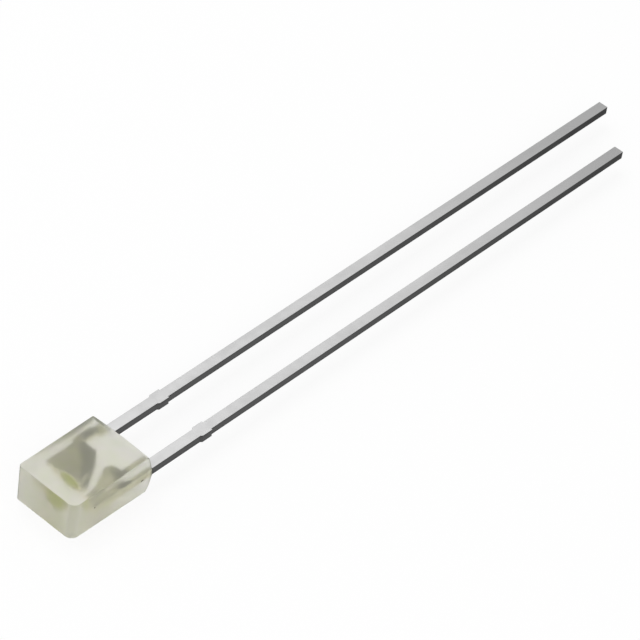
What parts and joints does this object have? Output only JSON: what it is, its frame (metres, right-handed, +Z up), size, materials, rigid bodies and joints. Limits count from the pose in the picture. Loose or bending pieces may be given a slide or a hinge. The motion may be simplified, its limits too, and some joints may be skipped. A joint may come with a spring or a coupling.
{
  "type": "rectangular led",
  "caption": "Rectangular indicator LED with a clear cast resin body, an internal reflector cup with phosphor, and straight collared leads of unequal length.",
  "frame": {"origin": "middle of the lower broad face of the body, on which the lamp lies", "axes": "+Y along the leads, away from the body; -Y is the light-emitting direction; +X from the anode lead to the cathode lead; +Z up through the body's thickness"},
  "size_m": [0.0034, 0.0377, 0.002],
  "materials": {
    "clear_resin": "cast, clear with a faint warm tint",
    "tinned_lead": "tinned and slightly dull",
    "die": "polished crystal",
    "adhesive": "matt",
    "phosphor": "matt, loaded with yellow-green powder",
    "gold_wire": "bright drawn gold"
  },
  "bodies": {
    "root": {"epoxy_body": "clear_resin", "anode_lead": "tinned_lead", "cathode_lead": "tinned_lead", "led_chip": "die", "die_attach": "adhesive", "phosphor_fill": "phosphor", "anode_bond_wire": "gold_wire", "cathode_bond_wire": "gold_wire"}
  },
  "joints": []
}
